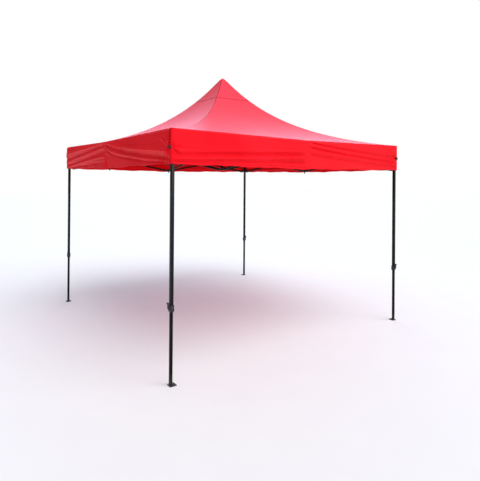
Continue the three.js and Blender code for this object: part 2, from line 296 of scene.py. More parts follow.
def makeCloth(name, inside):
    mat, tree, shader = startMaterial(name)
    uv = tree.nodes.new("ShaderNodeUVMap")
    uv.uv_map = "cut"
    threads = useGroup(tree, weaveGroup, uv.outputs[0], Threads=clothLook["threads"])
    coords = tree.nodes.new("ShaderNodeTexCoord").outputs["Object"]
    broad = noiseNode(tree, coords, clothLook["broadSize"], 5)
    main, deep = ("under", "under") if inside else ("red", "deep")
    color = mixColor(tree, rampNode(tree, broad, *clothLook["broad"]), clothLook[main], clothLook[deep])
    tint = rampNode(tree, threads.outputs["Tint"], *clothLook["tint"], 0.0, clothLook["tintShare"])
    color = mixColor(tree, tint, color, clothLook["deep"])
    gap = tree.nodes.new("ShaderNodeAttribute")
    gap.attribute_name = "seamGap"
    faded = tree.nodes.new("ShaderNodeAttribute")
    faded.attribute_name = "sunFade"
    # painted reflection: the roof's base colour turns pink where it would mirror the bright sky
    if not inside:
        patchyReflection = mathNode(tree, "MULTIPLY", faded.outputs["Fac"], rampNode(tree, broad, 0.2, 0.8, 0.8, 1.0))
        color = mixColor(tree, patchyReflection, color, clothLook["faded"])
    near = rampNode(tree, mathNode(tree, "ABSOLUTE", gap.outputs["Fac"]), *clothLook["line"], 1.0, 0.0)
    line = mathNode(tree, "MULTIPLY", near, clothLook["lineShare"])
    color = mixColor(tree, line, color, clothLook["seam"])
    tree.links.new(color, shader.inputs["Base Color"])
    rough = rampNode(tree, threads.outputs["Tint"], 0.3, 0.7, *clothLook["rough"])
    tree.links.new(rough, shader.inputs["Roughness"])
    shader.inputs["IOR"].default_value = clothLook["ior"]
    shader.inputs["Specular IOR Level"].default_value = clothLook["shine"]
    shader.inputs["Specular Tint"].default_value = clothLook["shineTint"]
    # painted glow on the underside: emission standing in for light that passes through the cloth
    if inside:
        shader.inputs["Emission Color"].default_value = clothLook["glow"]
        shader.inputs["Emission Strength"].default_value = clothLook["glowStrength"]
    ridges = mathNode(tree, "MULTIPLY", near, clothLook["ridge"])
    rumple = noiseNode(tree, coords, clothLook["crumpleSize"], 5)
    crumple = mathNode(tree, "MULTIPLY", rumple, clothLook["crumple"])
    weave = mathNode(tree, "MULTIPLY", threads.outputs["Height"], clothLook["weave"])
    height = mathNode(tree, "ADD", mathNode(tree, "ADD", weave, ridges), crumple)
    addBump(tree, shader, height, clothLook["bump"])
    return mat


coatLook = dict(
    grime=9.0,
    dirt=0.5,
    scuff=0.20,
    dust=0.35,
    scuffed=(0.04, 0.039, 0.038),
    dusty=(0.16, 0.14, 0.12),
    peelSize=900,
    peel=0.00003,
)


# powder coated steel, fine orange peel, scuffed to grey
def makeCoated(name, tone, roughness, floor, shine=0.25):
    mat, tree, shader = startMaterial(name)
    coords = tree.nodes.new("ShaderNodeTexCoord").outputs["Object"]
    grime = useGroup(tree, grimeGroup, coords, Size=coatLook["grime"], Floor=floor)
    dirt, scuff, dust = (
        mathNode(tree, "MULTIPLY", grime.outputs[label.title()], coatLook[label])
        for label in ("dirt", "scuff", "dust")
    )
    color = mixColor(tree, dirt, tone, tuple(c * 1.9 for c in tone))
    color = mixColor(tree, scuff, color, coatLook["scuffed"])
    color = mixColor(tree, dust, color, coatLook["dusty"])
    tree.links.new(color, shader.inputs["Base Color"])
    rough = mathNode(tree, "ADD", rampNode(tree, grime.outputs["Scuff"], 0, 1, roughness, roughness + 0.2),
                     mathNode(tree, "MULTIPLY", grime.outputs["Dust"], 0.3), clamp=True)
    tree.links.new(rough, shader.inputs["Roughness"])
    shader.inputs["Specular IOR Level"].default_value = shine
    addBump(tree, shader, noiseNode(tree, coords, coatLook["peelSize"], 2), coatLook["peel"])
    return mat


plasticLook = dict(
    grime=24.0,
    floor=0.3,
    dirt=0.6,
    scuff=0.25,
    scuffed=(0.05, 0.05, 0.05),
    rough=(0.42, 0.6),
    sparks=1400,
    spark=0.00004,
)


# moulded nylon with a fine spark texture
def makePlastic(name, tone):
    mat, tree, shader = startMaterial(name)
    coords = tree.nodes.new("ShaderNodeTexCoord").outputs["Object"]
    grime = useGroup(tree, grimeGroup, coords, Size=plasticLook["grime"], Floor=plasticLook["floor"])
    dirt, scuff = (
        mathNode(tree, "MULTIPLY", grime.outputs[label.title()], plasticLook[label])
        for label in ("dirt", "scuff")
    )
    color = mixColor(tree, dirt, tone, tuple(c * 2.2 for c in tone))
    color = mixColor(tree, scuff, color, plasticLook["scuffed"])
    tree.links.new(color, shader.inputs["Base Color"])
    rough = rampNode(tree, grime.outputs["Dirt"], 0, 1, *plasticLook["rough"])
    tree.links.new(rough, shader.inputs["Roughness"])
    cells = tree.nodes.new("ShaderNodeTexVoronoi")
    cells.inputs["Scale"].default_value = plasticLook["sparks"]
    tree.links.new(coords, cells.inputs["Vector"])
    addBump(tree, shader, cells.outputs["Distance"], plasticLook["spark"])
    return mat


metalLook = dict(
    grime=60.0,
    floor=0.2,
    dirt=0.7,
    grainSize=700,
    grain=0.00008,
)


def makeMetal(name, tone, roughness):
    mat, tree, shader = startMaterial(name)
    coords = tree.nodes.new("ShaderNodeTexCoord").outputs["Object"]
    grime = useGroup(tree, grimeGroup, coords, Size=metalLook["grime"], Floor=metalLook["floor"])
    dirt = mathNode(tree, "MULTIPLY", grime.outputs["Dirt"], metalLook["dirt"])
    color = mixColor(tree, dirt, tone, tuple(c * 0.45 for c in tone))
    tree.links.new(color, shader.inputs["Base Color"])
    shader.inputs["Metallic"].default_value = 1.0
    rough = rampNode(tree, grime.outputs["Scuff"], 0, 1, roughness, roughness + 0.25)
    tree.links.new(rough, shader.inputs["Roughness"])
    addBump(tree, shader, noiseNode(tree, coords, metalLook["grainSize"], 3), metalLook["grain"])
    return mat


floorLook = dict(
    pale=(0.80, 0.80, 0.80),
    darker=(0.77, 0.77, 0.77),
    rough=0.9,
)


def makeFloor():
    mat, tree, shader = startMaterial("pale_floor")
    coords = tree.nodes.new("ShaderNodeTexCoord").outputs["Object"]
    color = mixColor(tree, noiseNode(tree, coords, 3), floorLook["pale"], floorLook["darker"])
    tree.links.new(color, shader.inputs["Base Color"])
    shader.inputs["Roughness"].default_value = floorLook["rough"]
    return mat


clothOutside = makeCloth("red_cloth", False)
clothInside = makeCloth("red_cloth_underside", True)
barCoat = makeCoated("black_coated_bars", (0.004, 0.004, 0.004), 0.40, 0.2, 0.12)
legCoat = makeCoated("black_coated_leg", (0.004, 0.004, 0.004), 0.22, 0.2, 0.16)
innerCoat = makeCoated("black_coated_inner_leg", (0.003, 0.003, 0.003), 0.38, 0.12, 0.08)
nylon = makePlastic("black_nylon", (0.005, 0.005, 0.005))
boltSteel = makeMetal("dark_bolt_steel", (0.10, 0.10, 0.10), 0.35)
zincSteel = makeMetal("zinc_steel", (0.55, 0.55, 0.53), 0.32)


def dressNodes():
    for name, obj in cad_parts.items():
        if name.endswith("_bar"):
            mat = barCoat
        elif name.endswith("_outer_leg"):
            mat = legCoat
        elif name.endswith("_inner_leg") or name == "mast":
            mat = innerCoat
        elif name == "canopy_cover":
            mat = clothOutside
        else:
            mat = nylon
        obj.data.materials.clear()
        obj.data.materials.append(mat)


dressNodes()
print("materials made")

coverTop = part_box("canopy_cover")[1]
cover = dict(
    half=coverTop.x,
    peak=coverTop.z,
    eave=2.030,
    dip=0.018,  # middle of each side below the corners
    curve=2.4,
    tip=0.012,  # how far the tip is rounded, as a share of the half width
    sag=0.012,  # panel between its hips
    drop=0.283,
    cloth=0.0012,
    step=0.014,  # mesh size
    panelStep=0.018,
    capStep=0.008,
    flapStep=0.005,
    margin=0.10,  # roof strip that hangs with the valance
    crown=0.80,  # ring where the crown gives way to the outer panels
    gores=6,  # crown gores to a side
    seamRing=0.165,
    hemWave=0.0035,
    steepKeep=0.065,  # what is left of a crown gore's reach when folded
    panelKeep=0.17,
)
cover["marginRing"] = 1 - cover["margin"] / cover["half"]


def eaveHeight(share):
    return cover["eave"] - cover["dip"] * (1 - np.abs(share))


# place between the hips, ring, lean, height
crownCreases = [
    (0.42, 0.176, 0.10, 0.007),
    (0.50, 0.190, 0.12, -0.006),
    (0.58, 0.204, 0.10, 0.006),
]
crownRipple = dict(height=0.0016, waves=9, drift=21, reach=0.16, gain=12)
creaseWidth = 0.010
creaseLength = 0.11


# point of the front roof panel: share is -1 to 1 between the hips, ring is 0 at the peak, 1 at the eave
def roofLocal(share, ring):
    tip = cover["tip"]
    eased = (np.sqrt(ring ** 2 + tip ** 2) - tip) / (math.sqrt(1 + tip ** 2) - tip)
    end = math.exp(-cover["curve"])
    rise = (np.exp(-cover["curve"] * eased) - end) / (1 - end)
    z = cover["eave"] + (cover["peak"] - cover["eave"]) * rise
    z -= cover["dip"] * (1 - np.abs(share)) * ring
    z -= cover["sag"] * (1 - share ** 2) * 4 * ring * (1 - ring) * ring
    x = share * ring * cover["half"]
    ripple = np.sin(crownRipple["waves"] * x + crownRipple["drift"] * ring)
    ripple *= np.exp(-((1 - ring) / crownRipple["reach"]) ** 2) * (1 - ring) * crownRipple["gain"]
    z += crownRipple["height"] * ripple * (1 - share ** 4)
    for place, start, slope, height in crownCreases:
        off = (ring - start - slope * (share - place)) * cover["half"]
        z += height * np.exp(-(off / creaseWidth) ** 2 - ((share - place) / creaseLength) ** 2)
    return np.stack([x, -ring * cover["half"] + 0 * x, z], -1)


# folds of each half valance: drop at the middle, drop at the corner, bend, width, height
steepFan = [
    (0.010, 0.095, 0.9, 0.024, 0.012),
    (0.028, 0.160, 0.95, 0.018, -0.016),
    (0.056, 0.212, 1.0, 0.020, 0.017),
    (0.100, 0.248, 1.0, 0.018, -0.016),
    (0.155, 0.268, 1.1, 0.016, 0.012),
    (0.215, 0.278, 1.1, 0.012, -0.008),
]
levelFan = [
    (0.002, 0.185, 0.62, 0.026, 0.015),
    (0.012, 0.243, 0.60, 0.022, -0.020),
    (0.036, 0.262, 0.52, 0.016, 0.014),
    (0.062, 0.276, 0.48, 0.013, -0.012),
    (0.130, 0.150, 1.0, 0.030, 0.004),
]
calmSwags = [
    (0.112, 0.190, 1.0, 0.024, 0.015),
    (0.146, 0.220, 1.0, 0.019, -0.020),
    (0.184, 0.246, 1.0, 0.017, 0.016),
    (0.220, 0.266, 1.0, 0.014, -0.012),
]
lowFan = [
    (0.004, 0.120, 0.8, 0.022, 0.012),
    (0.010, 0.155, 0.8, 0.016, -0.015),
    (0.045, 0.192, 0.85, 0.016, 0.013),
    (0.064, 0.214, 0.85, 0.013, -0.014),
    (0.110, 0.234, 0.9, 0.014, 0.012),
    (0.140, 0.254, 0.9, 0.012, -0.011),
]
valanceFolds = {  # side and which end: -1 towards the side before, 1 towards the side after
    (0, -1): calmSwags, (0, 1): lowFan,
    (1, -1): levelFan, (1, 1): calmSwags,
    (2, -1): steepFan, (2, 1): calmSwags,
    (3, -1): steepFan, (3, 1): levelFan,
}
toggle = dict(
    drop=0.150,  # below the eave, on the corner seam
    reach=0.13,
    puckers=[(-0.45, 0.011), (0.05, -0.013), (0.50, 0.012), (1.05, -0.011), (-1.1, 0.008)],
)
# short tucks at the hem: place along the side, lean, width, height
hemTucks = [
    [(-0.9, 0.5, 0.012, 0.003), (0.35, -0.6, 0.014, 0.003)],
    [(-0.4, 0.4, 0.012, 0.004), (0.7, -0.5, 0.014, 0.003)],
    [(0.1, 0.5, 0.012, 0.004), (0.9, 0.6, 0.014, 0.003)],
    [
        (-0.06, 0.7, 0.010, 0.007),
        (-0.015, 0.2, 0.009, -0.006),
        (0.03, -0.3, 0.010, 0.007),
        (0.09, -0.8, 0.012, -0.005),
        (-0.13, 1.0, 0.012, -0.005),
    ],
]


def smooth(value):
    value = np.clip(value, 0, 1)
    return value * value * (3 - 2 * value)


# rounded ridge, steeper on one side
def crease(t):
    t = t * np.where(t > 0, 1.35, 0.8)
    return np.exp(-1.5 * (np.sqrt(t ** 2 + 0.06) - 0.245))


bulge = dict(
    base=0.009,  # the flap stands off its plane by this much on average
    sway=0.004,
    beat=2.4,
    fromMiddle=0.06,  # shares of the half side over which the folds begin and end
    fromCorner=0.04,
    narrow=0.55,  # a fold's width near the middle, and what it gains towards the corner
    widen=0.75,
    puckerFade=0.025,
    puckerWidth=0.011,
    soft=0.002,
    top=0.02,
)


# how far the valance stands out from its plane; never behind it, where the frame is
def valanceBulge(k, share, drop):
    out = bulge["base"] + bulge["sway"] * np.cos(bulge["beat"] * share + k)
    for end in (-1, 1):
        along = np.clip(share * end, 0, 1)
        here = (share * end >= 0)
        envelope = here * smooth(along / bulge["fromMiddle"]) * smooth((1 - along) / bulge["fromCorner"])
        for start, finish, bend, width, height in valanceFolds[(k, end)]:
            line = start + (finish - start) * along ** bend
            wide = width * (bulge["narrow"] + bulge["widen"] * along)
            out = out + height * envelope * crease((drop - line) / wide)
        away = (1 - along) * cover["half"]
        for slope, height in toggle["puckers"]:
            line = toggle["drop"] + slope * away
            fade = here * smooth(away / bulge["puckerFade"]) * np.exp(-away / toggle["reach"])
            out = out + height * fade * crease((drop - line) / bulge["puckerWidth"])
    for place, lean, width, height in hemTucks[k]:
        line = share * cover["half"] - place - lean * (cover["drop"] - drop)
        out = out + height * np.exp(-(line / width) ** 2) * smooth(drop / cover["drop"] * 1.4 - 0.4)
    out = 0.5 * (out + np.sqrt(out ** 2 + bulge["soft"] ** 2))
    return out * smooth(drop / bulge["top"])


# point of a valance drawn on the front side, with side k's own folds
def valanceLocal(k, share, drop):
    x = share * cover["half"]
    wave = np.sin(share * 17 + 2 * k) + 0.5 * np.sin(share * 41 + k)
    hem = cover["hemWave"] * wave * np.clip(drop / cover["drop"], 0, 1) ** 3
    z = eaveHeight(share) - drop + hem
    keep = np.clip((1 - np.abs(share)) * cover["half"] / 0.02, 0, 1)
    y = -cover["half"] - valanceBulge(k, share, drop) * keep
    return np.stack([x, y, z], -1)


def turnPoints(points, k):
    c, s = [(1, 0), (0, 1), (-1, 0), (0, -1)][k]
    x, y, z = points[..., 0], points[..., 1], points[..., 2]
    return np.stack([c * x - s * y, s * x + c * y, z], -1)


# grid of points, normals, flat coordinates, distance to a seam and share of painted sky reflection over
# shares x downs
# fade is the share of painted sky reflection: 1 on the roof, 0 on the valance
def patch(shape, k, shares, downs, gapOf, fade=0.0):
    share, down = np.meshgrid(shares, downs, indexing="xy")
    tiny = 1e-4
    here = shape(share, down)
    across = shape(share + tiny, down) - shape(share - tiny, down)
    along = shape(share, down + tiny) - shape(share, down - tiny)
    normal = np.cross(along, across)
    normal /= np.maximum(np.linalg.norm(normal, axis=-1, keepdims=True), 1e-12)
    steps = np.linalg.norm(np.diff(here, axis=0), axis=-1)
    flatY = np.vstack([np.zeros((1, len(shares))), np.cumsum(steps, axis=0)])
    flat = np.stack([here[..., 0], flatY], -1)
    return turnPoints(here, k), turnPoints(normal, k), flat, gapOf(share, down), fade + 0 * share


# closed thin shell from patches, with the normals of the smooth surface kept at every cut
def clothObject(name, patches):
    points, faces, loopNormals, flats, gaps, reflectionShares, kinds = [], [], [], [], [], [], []
    for place, normal, flat, gap, fade in patches:
        rows, cols = place.shape[:2]
        start = sum(len(p) for p in points)
        count = rows * cols
        outer = place.reshape(-1, 3)
        norm = normal.reshape(-1, 3)
        points += [outer, outer - norm * cover["cloth"]]
        flats += [flat.reshape(-1, 2)] * 2
        gaps += [gap.reshape(-1)] * 2
        reflectionShares += [fade.reshape(-1)] * 2
        index = np.arange(count).reshape(rows, cols)
        a, b, c, d = index[:-1, :-1], index[1:, :-1], index[1:, 1:], index[:-1, 1:]
        quads = np.stack([a, b, c, d], -1).reshape(-1, 4)
        faces.append(quads + start)
        loopNormals.append(norm[quads.reshape(-1)])
        kinds.append(np.zeros(len(quads), int))
        under = quads[:, ::-1]
        faces.append(under + start + count)
        loopNormals.append(-norm[under.reshape(-1)])
        kinds.append(np.ones(len(quads), int))
        edges = (index[0, ::-1], index[:, 0], index[-1, :], index[::-1, -1])
        ring = np.concatenate([edge[:-1] for edge in edges])
        nxt = np.roll(ring, -1)
        rim = np.stack([nxt, ring, ring + count, nxt + count], -1)
        corner = np.vstack([outer, outer - norm * cover["cloth"]])
        side = np.cross(corner[rim[:, 1]] - corner[rim[:, 0]], corner[rim[:, 3]] - corner[rim[:, 0]])
        side /= np.maximum(np.linalg.norm(side, axis=-1, keepdims=True), 1e-12)
        faces.append(rim + start)
        loopNormals.append(np.repeat(side, 4, axis=0))
        kinds.append(np.ones(len(rim), int))
    mesh = bpy.data.meshes.new(name)
    allPoints, allFaces = np.vstack(points), np.vstack(faces)
    mesh.from_pydata(allPoints.tolist(), [], allFaces.tolist())
    mesh.materials.append(clothOutside)
    mesh.materials.append(clothInside)
    mesh.polygons.foreach_set("material_index", np.concatenate(kinds).astype(np.int32))
    mesh.polygons.foreach_set("use_smooth", np.ones(len(allFaces), bool))
    layer = mesh.uv_layers.new(name="cut")
    allFlat = np.vstack(flats)
    layer.data.foreach_set("uv", allFlat[allFaces.reshape(-1)].astype(np.float32).ravel())
    # the second attribute is the share of painted sky reflection in the roof's base colour
    for label, values in (("seamGap", gaps), ("sunFade", reflectionShares)):
        attribute = mesh.attributes.new(label, "FLOAT", "POINT")
        attribute.data.foreach_set("value", np.concatenate(values).astype(np.float32))
    mesh.normals_split_custom_set(np.vstack(loopNormals).tolist())
    obj = bpy.data.objects.new(name, mesh)
    scene.collection.objects.link(obj)
    return obj


def evenly(start, end, length, step=None):
    count = max(2, int(round(abs(length) / (step or cover["step"]))) + 1)
    return np.linspace(start, end, count)


def flapRows():
    return evenly(0, cover["drop"], cover["drop"], cover["flapStep"])


def hipGap(share, ring):
    return (1 - np.abs(share)) * ring * cover["half"]


def roofGap(share, ring):
    ringGap = (ring - cover["seamRing"]) * cover["half"] * 1.5
    hip = hipGap(share, ring)
    return np.where(np.abs(ringGap) < hip, ringGap, hip)


# hem and eave seams, softer than the roof's, and the upright edge where one side laps over the next
def hemGap(share, drop):
    level = np.minimum(np.abs(cover["drop"] - drop - 0.020), drop) * 1.3 + 0.005
    broken = 0.0025 * (1 + np.sin(drop * 260)) + 0.006 * smooth((drop - toggle["drop"]) / 0.02)
    lap = np.abs((1 - share) * cover["half"] - 0.013) * 0.8 + broken
    return np.minimum(level, lap)


# length of cloth along the middle of a roof panel between two rings
def developed(start, end):
    line = roofLocal(np.zeros(400), np.linspace(start, end, 400))
    return float(np.linalg.norm(np.diff(line, axis=0), axis=-1).sum())


def finishCloth():
    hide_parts("canopy_cover")


# gores of the roof about the mast, each one riding on the lower hub
def crownGores():
    half, ring = cover["half"], cover["crown"]
    edges = np.linspace(-1, 1, cover["gores"] + 1)
    for k, side in enumerate(sides):
        for i, (left, right) in enumerate(zip(edges[:-1], edges[1:])):
            shares = evenly(left, right, (right - left) * half * ring)
            rings = np.concatenate([np.linspace(0.004, 0.03, 5)[:-1], evenly(0.03, ring, half * ring)])
            gore = patch(roofLocal, k, shares, rings, roofGap, 1.0)
            obj = clothObject(f"cover_crown_{side}_{i + 1}", [gore])
            wide, tall = (right - left) * half * ring, developed(0, ring)
            finishCloth()
            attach(obj, "lower_hub")
            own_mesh(obj)


# roof between the crown and the margin, riding on its side's inner lower hub bar
def outerPanels():
    half, inner, outer = cover["half"], cover["crown"], cover["marginRing"]
    for k, side in enumerate(sides):
        shares = evenly(-1, 1, 2 * half * outer, cover["panelStep"])
        rings = evenly(inner, outer, half * (outer - inner))
        obj = clothObject(f"cover_panel_{side}", [patch(roofLocal, k, shares, rings, roofGap, 1.0)])
        wide, tall = 2 * half * outer, developed(inner, outer)
        finishCloth()
        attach(obj, f"{side}_inner_lower_hub_bar")
        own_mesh(obj)


# half a valance with its strip of roof, from the middle of a side to the corner cap
def valanceHalves():
    half = cover["half"]
    cut = cover["marginRing"]  # share where the corner cap begins
    for k, side in enumerate(sides):
        for end, corner in ((-1, corners[k - 1]), (1, corners[k])):
            shares = evenly(0, end * cut, half * cut)
            if end < 0:
                shares = shares[::-1]
            strip = patch(roofLocal, k, shares, evenly(cut, 1, cover["margin"]), roofGap, 1.0)
            flap = patch(lambda s, d: valanceLocal(k, s, d), k, shares, flapRows(), hemGap)
            obj = clothObject(f"cover_valance_{side}_to_{corner}", [strip, flap])
            finishCloth()
            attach(obj, f"{corner}_leg")
            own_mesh(obj)


# the cover's corner over a leg: two bits of roof and two of valance
def cornerCaps():
    cut = cover["marginRing"]
    for k, corner in enumerate(corners):
        patches = []
        for side, end in ((k, 1), ((k + 1) % 4, -1)):
            shares = evenly(cut, 1, cover["margin"], cover["flapStep"])
            if end < 0:
                shares = -shares[::-1]
            rings = evenly(cut, 1, cover["margin"], cover["capStep"])
            patches.append(patch(roofLocal, side, shares, rings, roofGap, 1.0))
            flap = patch(lambda s, d, n=side: valanceLocal(n, s, d), side, shares, flapRows(), hemGap)
            patches.append(flap)
        obj = clothObject(f"cover_corner_{corner}", patches)
        finishCloth()
        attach(obj, f"{corner}_leg")


crownGores()
outerPanels()
valanceHalves()
cornerCaps()
print("cover made, peak to eave", round(developed(0, 1), 3), "m")


def newGeometryGroup(name, inputs):
    group = bpy.data.node_groups.new(name, "GeometryNodeTree")
    group.interface.new_socket(name="Geometry", in_out="INPUT", socket_type="NodeSocketGeometry")
    for label, kind, value in inputs:
        socket = group.interface.new_socket(name=label, in_out="INPUT", socket_type=kind)
        if value is not None:
            socket.default_value = value
    group.interface.new_socket(name="Geometry", in_out="OUTPUT", socket_type="NodeSocketGeometry")
    return group, group.nodes.new("NodeGroupInput"), group.nodes.new("NodeGroupOutput")


# instances of shape on every point, turned by the attribute turn, then one plain mesh
def putOnPoints(group, given, made, shape):
    turn = group.nodes.new("GeometryNodeInputNamedAttribute")
    turn.data_type = "FLOAT_VECTOR"
    turn.inputs["Name"].default_value = "turn"
    rotation = group.nodes.new("FunctionNodeEulerToRotation")
    group.links.new(turn.outputs["Attribute"], rotation.inputs[0])
    onPoints = group.nodes.new("GeometryNodeInstanceOnPoints")
    group.links.new(given.outputs["Geometry"], onPoints.inputs["Points"])
    group.links.new(shape, onPoints.inputs["Instance"])
    group.links.new(rotation.outputs[0], onPoints.inputs["Rotation"])
    real = group.nodes.new("GeometryNodeRealizeInstances")
    group.links.new(onPoints.outputs[0], real.inputs[0])
    paint = group.nodes.new("GeometryNodeSetMaterial")
    group.links.new(real.outputs[0], paint.inputs["Geometry"])
    group.links.new(given.outputs["Material"], paint.inputs["Material"])
    group.links.new(paint.outputs[0], made.inputs[0])


def shiftUp(group, geometry, height):
    move = group.nodes.new("GeometryNodeTransform")
    group.links.new(geometry, move.inputs["Geometry"])
    join = group.nodes.new("ShaderNodeCombineXYZ")
    group.links.new(height, join.inputs["Z"])
    group.links.new(join.outputs[0], move.inputs["Translation"])
    return move.outputs[0]


# cylinder standing on its point
def drum(group, radius, height, sides):
    shape = group.nodes.new("GeometryNodeMeshCylinder")
    group.links.new(radius, shape.inputs["Radius"])
    group.links.new(height, shape.inputs["Depth"])
    group.links.new(sides, shape.inputs["Vertices"])
    return shiftUp(group, shape.outputs["Mesh"], mathNode(group, "MULTIPLY", height, 0.5))


# head on a washer
def makeBoltGroup():
    group, given, made = newGeometryGroup("bolt_heads", [
        ("Head Radius", "NodeSocketFloat", 0.0055), ("Head Height", "NodeSocketFloat", 0.0035),
        ("Head Sides", "NodeSocketInt", 6), ("Washer Radius", "NodeSocketFloat", 0.008),
        ("Washer Height", "NodeSocketFloat", 0.001), ("Washer Sides", "NodeSocketInt", 16),
        ("Material", "NodeSocketMaterial", None)])
    out = given.outputs
    washer = drum(group, out["Washer Radius"], out["Washer Height"], out["Washer Sides"])
    total = mathNode(group, "ADD", out["Head Height"], out["Washer Height"])
    head = drum(group, out["Head Radius"], total, out["Head Sides"])
    both = group.nodes.new("GeometryNodeJoinGeometry")
    group.links.new(washer, both.inputs[0])
    group.links.new(head, both.inputs[0])
    putOnPoints(group, given, made, both.outputs[0])
    return group


# small blocks: plugs, tabs
def makeBlockGroup():
    group, given, made = newGeometryGroup("blocks", [
        ("Size", "NodeSocketVector", (0.01, 0.01, 0.01)), ("Material", "NodeSocketMaterial", None)])
    cube = group.nodes.new("GeometryNodeMeshCube")
    group.links.new(given.outputs["Size"], cube.inputs["Size"])
    putOnPoints(group, given, made, cube.outputs["Mesh"])
    return group


boltGroup = makeBoltGroup()
blockGroup = makeBlockGroup()


# new object with the group's shape at every (point, rotation)
def scatter(name, group, places, **values):
    points = bpy.data.meshes.new(name)
    points.from_pydata([tuple(p) for p, _ in places], [], [])
    turn = points.attributes.new("turn", "FLOAT_VECTOR", "POINT")
    turn.data.foreach_set("vector", [v for _, r in places for v in r.to_euler()])
    obj = bpy.data.objects.new(name, points)
    scene.collection.objects.link(obj)
    modifier = obj.modifiers.new("made", "NODES")
    modifier.node_group = group
    for item in group.interface.items_tree:
        key = item.name[0].lower() + item.name[1:].replace(" ", "")
        if item.in_out == "INPUT" and key in values:
            modifier[item.identifier] = values[key]
    mesh = bpy.data.meshes.new_from_object(obj.evaluated_get(bpy.context.evaluated_depsgraph_get()))
    obj.modifiers.clear()
    mesh.name = name
    obj.data = mesh
    bpy.data.meshes.remove(points)
    return obj


def facing(direction, spin=0.0):
    return Vector(direction).to_track_quat("Z", "Y").to_matrix() @ Matrix.Rotation(spin, 3, "Z")


barBolt = dict(headRadius=0.0052, headHeight=0.003, headSides=6, washerRadius=0.0078, washerHeight=0.0009)
barRivet = dict(headRadius=0.0048, headHeight=0.002, headSides=14, washerRadius=0.0072, washerHeight=0.0007)
barSpacer = dict(headRadius=0.0045, headHeight=0.0, headSides=14, washerRadius=0.008)
barPlug = dict(proud=0.0006, thick=0.0012, gap=0.0012)  # gap is what it falls short of the tube's width
boltSpin = 0.3
spacerPlay = 0.0002


# one object from several, keeping their materials
def joined(name, parts):
    mesh = bpy.data.meshes.new(name)
    build = bmesh.new()
    for part in parts:
        start = len(mesh.materials)
        for mat in part.data.materials:
            mesh.materials.append(mat)
        faceCount = len(build.faces)
        build.from_mesh(part.data)
        build.faces.ensure_lookup_table()
        for face in build.faces[faceCount:]:
            face.material_index += start
    bmesh.ops.recalc_face_normals(build, faces=build.faces)
    build.to_mesh(mesh)
    build.free()
    for part in parts:
        old = part.data
        bpy.data.objects.remove(part)
        bpy.data.meshes.remove(old)
    obj = bpy.data.objects.new(name, mesh)
    scene.collection.objects.link(obj)
    return obj


# bolt at each end and rivet at the crossing on the bar's outer face, plugs in its ends
def dressBar(bar, start, end, normal, spacer):
    start, end, normal = Vector(start), Vector(end), Vector(normal)
    along = (end - start).normalized()
    skin = truss["barWide"] / 2
    face = facing(normal, boltSpin)
    ends = [(start + normal * skin, face), (end + normal * skin, face)]
    bolts = scatter(f"{bar}_bolts", boltGroup, ends, material=boltSteel, **barBolt)
    center = (start + end) / 2
    spot = [(center + normal * skin, face)]
    rivet = scatter(f"{bar}_rivet", boltGroup, spot, material=zincSteel, **barRivet)
    frameTurn = Matrix((along, normal, normal.cross(along))).transposed()
    over = truss["overrun"] + barPlug["proud"]
    ends = [(start - along * over, frameTurn), (end + along * over, frameTurn)]
    plugSize = (barPlug["thick"], truss["barWide"] - barPlug["gap"], truss["barDeep"] - barPlug["gap"])
    plugs = scatter(f"{bar}_plugs", blockGroup, ends, size=plugSize, material=nylon)
    parts = [bolts, rivet, plugs]
    if spacer:
        gap = 2 * truss["offset"] - truss["barWide"] - spacerPlay
        spot = [(center - normal * skin, facing(-normal))]
        parts.append(scatter(f"{bar}_spacer", boltGroup, spot, washerHeight=gap, material=nylon, **barSpacer))
    caps = joined(f"{bar}_fasteners", parts)
    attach(caps, bar)


def dressBars():
    half, leg, mid, off = truss["half"], truss["legPivot"], truss["midPivot"], truss["offset"]
    top, low = truss["topZ"], truss["lowZ"]
    for k, side in enumerate(sides):
        out, inward = turned(k, 0, -1, 0), turned(k, 0, 1, 0)
        right, left = turned(k, 1, 0, 0), turned(k, -1, 0, 0)
        for end, corner in ((-1, corners[k - 1]), (1, corners[k])):
            start = turned(k, end * mid, -half - off, top)
            finish = turned(k, end * (half - leg), -half - off, low)
            dressBar(f"{side}_side_{corner}_slider_bar", start, finish, out, True)
            start = turned(k, end * mid, -half + off, low)
            finish = turned(k, end * (half - leg), -half + off, top)
            dressBar(f"{side}_side_{corner}_bracket_bar", start, finish, inward, False)
        start, finish = turned(k, off, -leg, top), turned(k, off, -half + mid, low)
        dressBar(f"{side}_inner_upper_hub_bar", start, finish, right, True)
        start, finish = turned(k, -off, -leg, low), turned(k, -off, -half + mid, top)
        dressBar(f"{side}_inner_lower_hub_bar", start, finish, left, False)


dressBars()
print("bars dressed")


lockPin = dict(headRadius=0.0035, headHeight=0.0016, headSides=14, washerRadius=0.0075, washerHeight=0.0006)
pullRing = dict(big=0.009, small=0.0009, turnsBig=18, turnsSmall=8, off=0.0015, overlap=0.0005)


